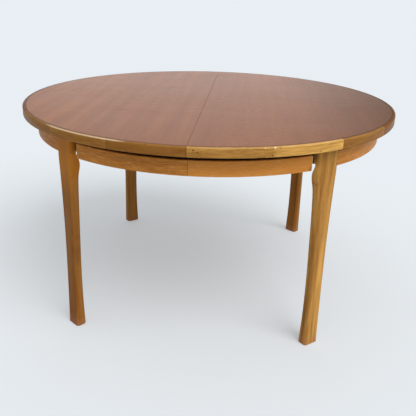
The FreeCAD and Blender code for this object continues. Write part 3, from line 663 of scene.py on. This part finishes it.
def finished(name, mesh, node, body, material):
    """Put a mesh in the scene as a piece that stands for a CAD node."""
    data = bpy.data.meshes.new(name)
    mesh.to_mesh(data)
    mesh.free()
    piece = bpy.data.objects.new(name, data)
    bpy.context.scene.collection.objects.link(piece)
    data.materials.append(material)
    data.shade_smooth()
    data.set_sharp_from_angle(angle=SHARP_ANGLE)
    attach(piece, body)
    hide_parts(node)


def paint(material, *names):
    """Give CAD nodes a finish."""
    for name in names:
        for slot in NODES[name].material_slots:
            slot.material = material


def ease(width, *names):
    """Small bevel on the sharp arrises of CAD nodes."""
    for name in names:
        weld = NODES[name].modifiers.new("weld", "WELD")
        weld.merge_threshold = 0.01 * MM
        bevel = NODES[name].modifiers.new("arris", "BEVEL")
        bevel.width = width
        bevel.segments = 2
        bevel.limit_method = "ANGLE"
        bevel.angle_limit = BEVEL_ANGLE


def islands(name):
    """Vertices of each separate solid of a CAD node."""
    mesh = bmesh.new()
    mesh.from_mesh(NODES[name].data)
    bmesh.ops.remove_doubles(mesh, verts=mesh.verts, dist=0.002 * MM)
    left = set(mesh.verts)
    found = []
    while left:
        queue = [left.pop()]
        solid = []
        while queue:
            vert = queue.pop()
            solid.append(vert.co.copy())
            for edge in vert.link_edges:
                other = edge.other_vert(vert)
                if other in left:
                    left.remove(other)
                    queue.append(other)
        found.append(solid)
    mesh.free()
    return sorted(found, key=lambda solid: tuple(round(c, 4) for c in solid_centre(solid)))


def solid_centre(solid):
    """Centre of the box around a solid."""
    low = Vector(min(v[i] for v in solid) for i in range(3))
    high = Vector(max(v[i] for v in solid) for i in range(3))
    return (low + high) / 2


def merge_into(target, part, matrix):
    """Add a copy of a small mesh at a place."""
    data = bpy.data.meshes.new("part")
    part.to_mesh(data)
    data.transform(matrix)
    target.from_mesh(data)
    bpy.data.meshes.remove(data)


def closed_outline(mesh, points):
    """Closed ring of vertices and edges from radius and height, ready to spin."""
    verts = [mesh.verts.new((r, 0.0, z)) for r, z in points]
    edges = [mesh.edges.new((verts[i], verts[(i + 1) % len(verts)])) for i in range(len(verts))]
    return verts + edges


def arc_points(centre, radius, start, steps):
    """Points of a quarter circle, anticlockwise from an angle in degrees."""
    turns = [math.radians(start + 90 * i / steps) for i in range(steps + 1)]
    return [(centre[0] + radius * math.cos(t), centre[1] + radius * math.sin(t)) for t in turns]


def cylinder(radius, low, high, sides, top_radius=None):
    """Closed cylinder or cone from low to high on Z."""
    mesh = bmesh.new()
    bmesh.ops.create_cone(mesh, cap_ends=True, segments=sides, radius1=radius,
                          radius2=radius if top_radius is None else top_radius, depth=high - low)
    bmesh.ops.translate(mesh, verts=mesh.verts, vec=(0.0, 0.0, (low + high) / 2))
    return mesh


# ------------------------------------------------------------------ lipping

# Tone of each segment, from the front seam backwards; a higher tone is darker. Partly each segment's own
# tone, partly painted shade: the left half's front segments and the segments round both sides are darker,
# where less light falls.
LIPPING_TONES_AND_SHADE = {"left": (1.06, 0.92, 1.00, 1.22, 1.20, 0.50, 0.45, 0.60, 0.40),
                 "right": (0.55, 0.16, 0.95, 1.20, 1.15, 0.60, 0.40, 0.55, 0.35)}


def lipping_profile():
    """Section of the lipping as radius and height, anticlockwise."""
    s = sizes()
    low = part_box("edge_lipping_left")[0][2]
    inner = TOP_RADIUS - s.lipping_width
    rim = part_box("edge_lipping_right")[1][0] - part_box("edge_lipping_right")[0][0]
    points = [(inner, low)]
    points += arc_points((rim - s.lipping_ease, low + s.lipping_ease), s.lipping_ease, -90, 3)
    points += arc_points((rim - s.lipping_round, HEIGHT - s.lipping_round), s.lipping_round, 0, 6)
    points.append((inner, HEIGHT))
    return points


def lipping_segment(turn):
    """One lipping segment, its end arrises just broken."""
    mesh = bmesh.new()
    outline = closed_outline(mesh, lipping_profile())
    bmesh.ops.spin(mesh, geom=outline, cent=CENTRE, axis=UP, dvec=(0, 0, 0), angle=turn,
                   steps=20, use_merge=False)
    bmesh.ops.holes_fill(mesh, edges=[e for e in mesh.edges if e.is_boundary], sides=0)
    bmesh.ops.recalc_face_normals(mesh, faces=mesh.faces)
    ends = [f for f in mesh.faces if len(f.verts) > 4]
    rims = list({e for f in ends for e in f.edges})
    bmesh.ops.bevel(mesh, geom=rims, offset=0.35 * MM, affect="EDGES", segments=2,
                    profile=0.5, material=-1)
    return mesh


def build_lipping(side, material):
    """Lipping of one half; the right half's, mirrored for the left."""
    s = sizes()
    sign = -1 if side == "left" else 1
    half = bmesh.new()
    layer = half.verts.layers.float.new("tone")
    turn = math.pi / s.lipping_segments
    gap = s.lipping_joint / TOP_RADIUS
    tones_and_shade = LIPPING_TONES_AND_SHADE[side]
    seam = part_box("edge_lipping_right")[0][0]
    for i in range(s.lipping_segments):
        part = lipping_segment(turn - gap)
        count = len(half.verts)
        start = -math.pi / 2 + i * turn + gap / 2
        merge_into(half, part, Matrix.Rotation(start, 4, "Z"))
        part.free()
        half.verts.ensure_lookup_table()
        for vert in half.verts[count:]:
            vert[layer] = tones_and_shade[i % len(tones_and_shade)]
    if side == "left":
        bmesh.ops.scale(half, verts=half.verts, vec=(-1.0, 1.0, 1.0))
        bmesh.ops.recalc_face_normals(half, faces=half.faces)
    bmesh.ops.translate(half, verts=half.verts, vec=(sign * seam, 0.0, 0.0))
    finished("lipping_segments_" + side, half, "edge_lipping_" + side, BODY[side], material)


# ---------------------------------------------------------------- fastenings

def screw_thread(low_radius, high_radius, reach, steps=16):
    """Ridge that winds up a screw for as many whole turns as fit its reach."""
    pitch = sizes().thread_pitch
    thread = bmesh.new()
    section = ((low_radius, 0.0), (high_radius, pitch / 4), (low_radius, pitch / 2))
    ridge = [thread.verts.new((r, 0.0, z)) for r, z in section]
    edges = [thread.edges.new((ridge[i], ridge[i + 1])) for i in range(2)]
    turns = int(reach / pitch)
    bmesh.ops.spin(thread, geom=ridge + edges, cent=CENTRE, axis=UP, dvec=(0, 0, pitch / steps),
                   angle=turns * 2 * math.pi, steps=turns * steps, use_merge=False)
    bmesh.ops.solidify(thread, geom=thread.faces, thickness=0.15 * MM)
    return thread


def screw_mesh(high):
    """Slotted countersunk screw, head down, from zero to high."""
    s = sizes()
    shank, rise = s.screw_core / 2, s.screw_sink
    core_radius = 0.72 * shank
    mesh = cylinder(s.screw_head / 2, 0.0, rise, 32, shank)
    face = min(mesh.faces, key=lambda f: f.calc_center_median().z)
    bmesh.ops.bevel(mesh, geom=list(face.edges), offset=0.25 * MM, affect="EDGES", segments=2,
                    profile=0.5, material=-1)
    for sign in (-1, 1):
        bmesh.ops.bisect_plane(mesh, geom=[*mesh.verts, *mesh.edges, *mesh.faces], dist=1e-7,
                               plane_co=(sign * s.screw_slot / 2, 0, 0), plane_no=(1, 0, 0))
    slot = [f for f in mesh.faces
            if abs(f.calc_center_median().x) < s.screw_slot / 2 and f.calc_center_median().z < TINY]
    deep = bmesh.ops.extrude_face_region(mesh, geom=slot)["geom"]
    bmesh.ops.translate(mesh, verts=[g for g in deep if isinstance(g, bmesh.types.BMVert)],
                        vec=(0.0, 0.0, s.slot_depth))
    bmesh.ops.delete(mesh, geom=slot, context="FACES_ONLY")
    core = cylinder(core_radius, rise, high, 16, 0.3 * shank)
    thread = screw_thread(core_radius, shank, high - rise - 5 * MM)
    merge_into(mesh, core, Matrix())
    merge_into(mesh, thread, Matrix.Translation((0, 0, rise)))
    core.free()
    thread.free()
    return mesh


def build_screws(node, body, material):
    """Slotted screws in place of a node's plain ones, each turned another way."""
    group = bmesh.new()
    for i, solid in enumerate(islands(node)):
        low = min(v.z for v in solid)
        high = max(v.z for v in solid)
        centre = solid_centre(solid)
        part = screw_mesh(high - low)
        turned = Matrix.Rotation(0.7 * i, 4, "Z")
        place = Matrix.Translation((centre.x, centre.y, low)) @ turned
        merge_into(group, part, place)
        part.free()
    finished(node.replace("screws", "slotted_screws"), group, node, body, material)


def leg_direction(centre):
    """Outward direction of the leg nearest a point."""
    turn = sizes().leg_azimuth
    return Vector((math.copysign(math.sin(turn), centre.x),
                   math.copysign(math.cos(turn), centre.y), 0.0))


def along_leg(solid):
    """Matrix with Z along the leg's outward direction, and the solid's reach on it."""
    centre = solid_centre(solid)
    outward = leg_direction(centre)
    reach = [v.dot(outward) for v in solid]
    side = Vector((-outward.y, outward.x, 0.0))
    across = centre.dot(side)
    origin = side * across + Vector((0, 0, centre.z))
    turn = Matrix((side.cross(outward), side, outward)).transposed().to_4x4()
    return Matrix.Translation(origin) @ turn, min(reach), max(reach)


def bolt_mesh(low, high):
    """Hexagon bolt lying outward along Z, its head chamfered."""
    s = sizes()
    head = cylinder(s.bolt_flats / 2 / math.cos(math.pi / 6), low, low + s.bolt_head, 6)
    corners = [v for v in head.verts if v.co.z < low + TINY]
    rim = [e for e in head.edges if all(v in corners for v in e.verts)]
    bmesh.ops.bevel(head, geom=rim, offset=0.7 * MM, affect="EDGES", segments=3,
                    profile=0.5, material=-1)
    shank = cylinder(s.bolt_shank / 2, low + s.bolt_head, high, 32, s.bolt_shank / 2 - 0.4 * MM)
    merge_into(head, shank, Matrix())
    shank.free()
    return head


def washer_mesh(solid, low, high):
    """Punched washer with eased rims."""
    hole, ease_width = sizes().washer_hole / 2, 0.3 * MM
    radius = max(v.z for v in solid) - solid_centre(solid).z
    mesh = bmesh.new()
    rim = [(hole, low), (radius - ease_width, low), (radius, low + ease_width),
           (radius, high - ease_width), (radius - ease_width, high), (hole, high)]
    bmesh.ops.spin(mesh, geom=closed_outline(mesh, rim), cent=CENTRE, axis=UP, dvec=(0, 0, 0),
                   angle=2 * math.pi, steps=40, use_merge=True)
    bmesh.ops.recalc_face_normals(mesh, faces=mesh.faces)
    return mesh


def build_fastening(node, side, maker, name, material):
    """Bolts or washers of one half, each along its leg's outward direction."""
    group = bmesh.new()
    for solid in islands(node):
        matrix, low, high = along_leg(solid)
        part = maker(solid, low, high)
        merge_into(group, part, matrix)
        part.free()
    bmesh.ops.recalc_face_normals(group, faces=group.faces)
    finished(name, group, node, BODY[side], material)


# ------------------------------------------------------------------ operators

class TABLE_OT_shader_groups(bpy.types.Operator):
    """Make the effects that several finishes share"""

    bl_idname = "table.shader_groups"
    bl_label = "Shader groups"

    def execute(self, context):
        group_ring_place()
        group_wood_figure()
        group_arris_wear()
        group_dents()
        group_handling()
        return {"FINISHED"}


class TABLE_OT_top(bpy.types.Operator):
    """Finish the veneered halves of the top and their core boards"""

    bl_idname = "table.top"
    bl_label = "Top"

    def execute(self, context):
        board = board_material()
        for side, seed in (("left", 0.0), ("right", 4.7)):
            paint(veneer_material("veneer_" + side, seed), "top_veneer_" + side)
            paint(board, "top_core_" + side)
            ease(sizes().seam_arris, "top_veneer_" + side)
        return {"FINISHED"}


class TABLE_OT_lipping(bpy.types.Operator):
    """Build the edge lipping from butted segments"""

    bl_idname = "table.lipping"
    bl_label = "Edge lipping"

    def execute(self, context):
        material = lipping_material()
        for side in SIDES:
            build_lipping(side, material)
        return {"FINISHED"}


class TABLE_OT_apron(bpy.types.Operator):
    """Finish the aprons, their end strips and spacers, and the glue and leg blocks"""

    bl_idname = "table.apron"
    bl_label = "Aprons"

    def execute(self, context):
        strip = lipping_strip_material()
        f = finish()
        dark = inner_wood_material("stain_and_painted_shade", f.stain_and_shade_light, f.stain_and_shade_dark, "z", 4.2)
        pine = inner_wood_material("block_pine", f.pine_light, f.pine_dark, "z", 1.3)
        for side in SIDES:
            for part in APRON_SEEDS:
                name = f"apron_{side}_{part}"
                seed = APRON_SEEDS[part] + (0.0 if side == "left" else 3.5)
                paint(apron_material(name, seed, APRON_PAINTED_LIGHT[side][part]), name)
            paint(strip, "apron_end_strips_" + side)
            # Partly painted shade: the near-black blocks and spacers fill the gap under the top.
            paint(dark, "apron_blocks_" + side, *[f"apron_spacer_{side}_{part}" for part in APRON_SEEDS])
            paint(pine, *[f"leg_block_{side}_{end}" for end in ENDS])
            ease(sizes().arris, "apron_blocks_" + side)
        return {"FINISHED"}


class TABLE_OT_legs(bpy.types.Operator):
    """Finish the four legs, each with its own figure"""

    bl_idname = "table.legs"
    bl_label = "Legs"

    def execute(self, context):
        for i, ((side, end), shade) in enumerate(LEG_SHADES.items()):
            name = f"leg_{side}_{end}"
            paint(leg_material(name, side, end, 2.3 * i + 0.6, shade), name)
        return {"FINISHED"}


class TABLE_OT_slides(bpy.types.Operator):
    """Finish the slide members, bearers and pegs"""

    bl_idname = "table.slides"
    bl_label = "Slides"

    def execute(self, context):
        light, dark = finish().beech_light, finish().beech_dark
        along_x = inner_wood_material("beech_slides", light, dark, "x", 2.0)
        along_y = inner_wood_material("beech_bearers", light, dark, "y", 5.0)
        for side in SIDES:
            paint(along_x, *[f"runner_{side}_{end}" for end in ENDS])
            paint(along_y, "bearer_" + side, "batten_" + side)
            ease(sizes().arris, "bearer_" + side)
        paint(along_x, "seam_pegs", *[f"runner_middle_{end}" for end in ENDS])
        return {"FINISHED"}


class TABLE_OT_leaf(bpy.types.Operator):
    """Finish the folded leaf and its hinges"""

    bl_idname = "table.leaf"
    bl_label = "Folded leaf"

    def execute(self, context):
        brass = metal_material("dull_brass", finish().brass, 0.32, 0.4)
        veneer = veneer_material("veneer_leaf", 9.1)
        paint(veneer, "leaf_panel_lower", "leaf_panel_upper")
        paint(lipping_strip_material("leaf_ends"), "leaf_end_lower", "leaf_end_upper")
        ease(sizes().arris, "leaf_end_lower", "leaf_end_upper", "leaf_hinge_links")
        paint(brass, "leaf_hinge_barrels", "leaf_hinge_links", *["leg_inserts_" + side for side in SIDES])
        return {"FINISHED"}


class TABLE_OT_fastenings(bpy.types.Operator):
    """Build the screws, bolts and washers"""

    bl_idname = "table.fastenings"
    bl_label = "Fastenings"

    def execute(self, context):
        steel = metal_material("zinc_steel", finish().steel, 0.28, 0.3)
        build_screws("batten_screws", "leaf_carriage", steel)
        for side in SIDES:
            build_screws("top_screws_" + side, BODY[side], steel)
            build_fastening("leg_bolts_" + side, side, lambda _, low, high: bolt_mesh(low, high),
                            "leg_hex_bolts_" + side, steel)
            build_fastening("leg_washers_" + side, side, washer_mesh, "leg_punched_washers_" + side, steel)
        return {"FINISHED"}


class TABLE_OT_stage(bpy.types.Operator):
    """Set up the floor, the soft light and the camera"""

    bl_idname = "table.stage"
    bl_label = "Stage"

    def execute(self, context):
        build_floor()
        build_world()
        build_key()
        build_camera()
        return {"FINISHED"}


# --------------------------------------------------------------------- stage

def build_floor():
    """Wide flat floor under the feet."""
    mesh = bmesh.new()
    bmesh.ops.create_grid(mesh, x_segments=4, y_segments=4, size=stage().floor_size)
    data = bpy.data.meshes.new("floor")
    mesh.to_mesh(data)
    mesh.free()
    floor = bpy.data.objects.new("floor", data)
    bpy.context.scene.collection.objects.link(floor)
    data.materials.append(floor_material())


def view_direction(turn, rise):
    """Unit vector turned from +Y towards +X and raised over the horizon."""
    return Vector((math.sin(turn) * math.cos(rise), math.cos(turn) * math.cos(rise), math.sin(rise)))


def build_world():
    """Soft surround: bright overhead, dim near the horizon, with a glow behind the table."""
    s = stage()
    world = bpy.data.worlds.new("surround")
    world.use_nodes = True
    tree = world.node_tree
    direction = tree.nodes.new("ShaderNodeTexCoord").outputs["Generated"]
    level = band(tree, split(tree, direction)[2], 0.25, 1.0, s.sky_low, s.sky_high)
    glow = view_direction(s.glow_turn, s.glow_rise)
    near = add(tree, "ShaderNodeVectorMath", [(0, direction), (1, glow)],
               operation="DOT_PRODUCT").outputs["Value"]
    patch = band(tree, near, math.cos(s.glow_reach), math.cos(s.glow_core), 0.0, s.glow_strength)
    put(maths(tree, "ADD", level, patch), tree.nodes["Background"].inputs["Strength"], tree)
    tree.nodes["Background"].inputs["Color"].default_value = (*s.sky_colour, 1.0)
    bpy.context.scene.world = world


def build_key():
    """Large soft key light from the front right."""
    data = bpy.data.lights.new("key", "SUN")
    lamp = bpy.data.objects.new("key", data)
    away = Vector(stage().key_from).normalized()
    lamp.location = Vector((0.0, 0.0, HEIGHT)) + away * 4.0
    lamp.rotation_euler = away.to_track_quat("Z", "Y").to_euler()
    data.energy = stage().key_strength
    data.angle = stage().key_spread
    bpy.context.scene.collection.objects.link(lamp)


def build_camera():
    """Camera from its place, turn, pitch and roll."""
    s = stage()
    data = bpy.data.cameras.new("camera")
    camera = bpy.data.objects.new("camera", data)
    bpy.context.scene.collection.objects.link(camera)
    turn, pitch, roll = s.camera_turn, s.camera_pitch, s.camera_roll
    forward = view_direction(turn, -pitch)
    level = Vector((math.cos(turn), -math.sin(turn), 0.0))
    upward = level.cross(forward)
    right = level * math.cos(roll) + upward * math.sin(roll)
    up = upward * math.cos(roll) - level * math.sin(roll)
    basis = Matrix((right, up, -forward)).transposed()
    camera.matrix_world = Matrix.Translation(s.camera_place) @ basis.to_4x4()
    data.lens = s.lens
    data.shift_x, data.shift_y = s.shift_x, s.shift_y
    data.clip_end = 200.0
    bpy.context.scene.camera = camera
    bpy.context.scene.view_settings.view_transform = "Standard"


# --------------------------------------------------------------- registration

STEPS = (TABLE_OT_shader_groups, TABLE_OT_top, TABLE_OT_lipping, TABLE_OT_apron, TABLE_OT_legs,
         TABLE_OT_slides, TABLE_OT_leaf, TABLE_OT_fastenings, TABLE_OT_stage)


class TABLE_PT_panel(bpy.types.Panel):
    """The table's pieces and their settings"""

    bl_idname = "TABLE_PT_panel"
    bl_label = "Round extending table"
    bl_space_type = "VIEW_3D"
    bl_region_type = "UI"
    bl_category = "Table"

    def draw(self, context):
        for step in STEPS:
            self.layout.operator(step.bl_idname)
        for group in (sizes(), finish(), stage()):
            box = self.layout.box()
            for name in group.__annotations__:
                box.prop(group, name)


CLASSES = (TableSizes, TableFinish, TableStage, *STEPS, TABLE_PT_panel)


def register():
    for cls in CLASSES:
        bpy.utils.register_class(cls)
    bpy.types.Scene.table_sizes = PointerProperty(type=TableSizes)
    bpy.types.Scene.table_finish = PointerProperty(type=TableFinish)
    bpy.types.Scene.table_stage = PointerProperty(type=TableStage)


def unregister():
    del bpy.types.Scene.table_stage
    del bpy.types.Scene.table_finish
    del bpy.types.Scene.table_sizes
    for cls in reversed(CLASSES):
        bpy.utils.unregister_class(cls)


def main():
    register()
    for step in STEPS:
        area, name = step.bl_idname.split(".")
        getattr(getattr(bpy.ops, area), name)()


if __name__ == "__main__":
    main()
